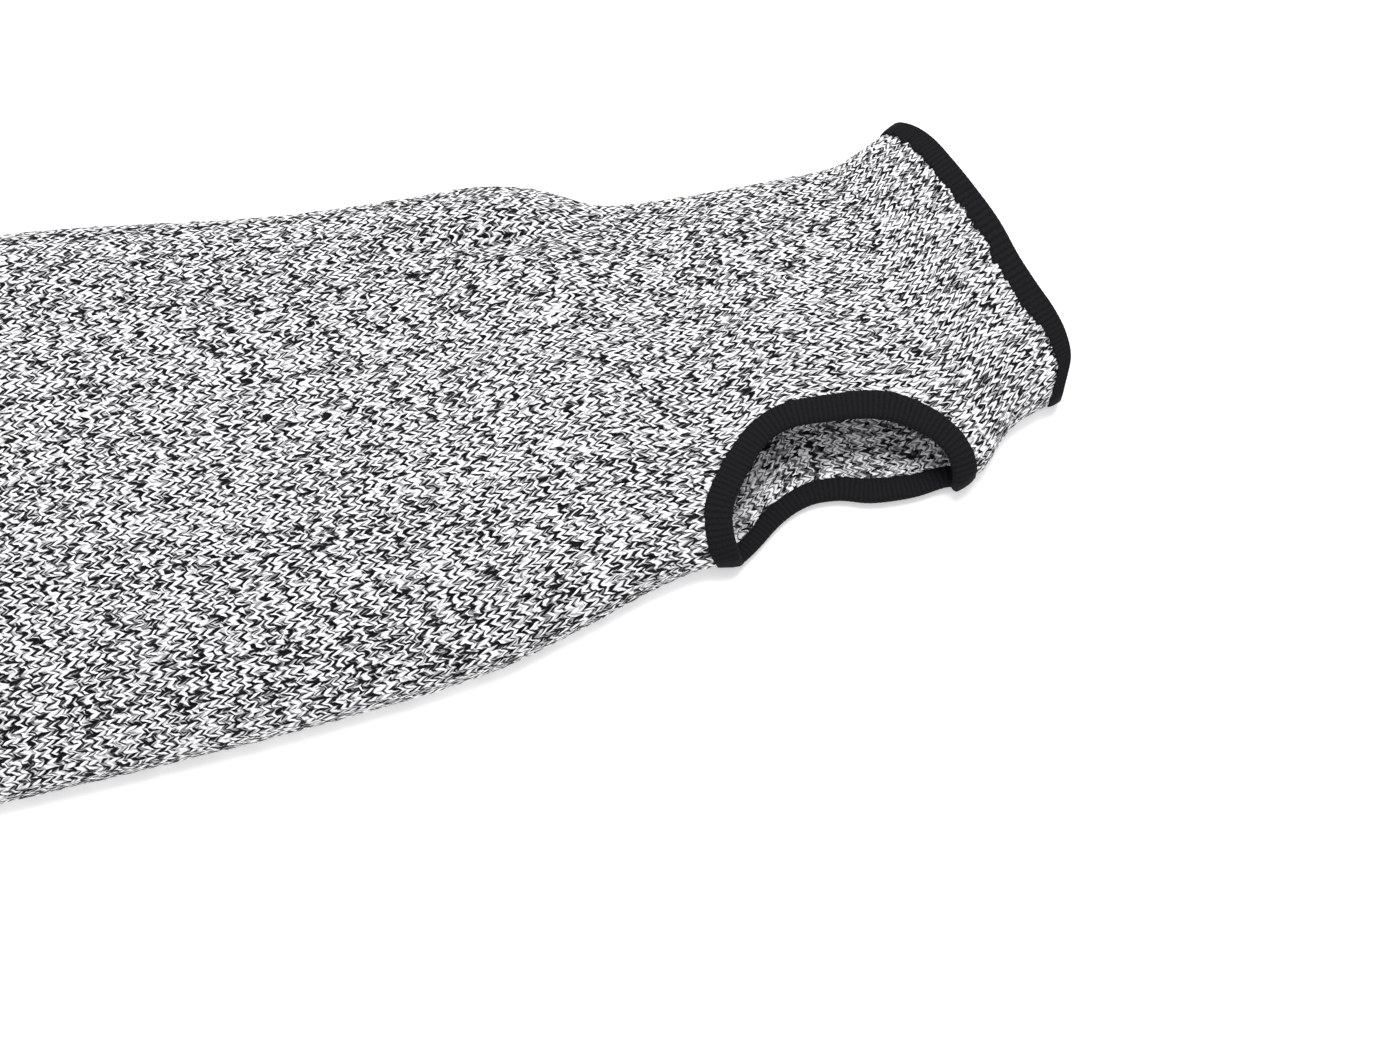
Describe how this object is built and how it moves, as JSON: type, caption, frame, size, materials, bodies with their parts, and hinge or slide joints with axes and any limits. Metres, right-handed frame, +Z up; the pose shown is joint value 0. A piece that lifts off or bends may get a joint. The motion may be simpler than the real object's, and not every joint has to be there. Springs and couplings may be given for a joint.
{
  "type": "cut resistant sleeve",
  "caption": "Seamless knitted forearm sleeve lying flat, hollow from end to end, with dark bound edges at both openings and round a thumb slot near the hand end.",
  "frame": {"origin": "on the floor under the middle of the sleeve's box", "axes": "+X along the arm part towards the hand end, +Y across it away from the thumb slot, +Z up"},
  "size_m": [0.457, 0.1712, 0.0256],
  "materials": {
    "knit": "grey melange jersey knit of white and near-black yarn, matt",
    "edging": "near-black ribbed knitted edging, matt"
  },
  "bodies": {
    "root": {"sleeve_body": "knit", "hand_binding": "edging", "thumb_binding": "edging", "arm_binding": "edging"}
  },
  "joints": []
}
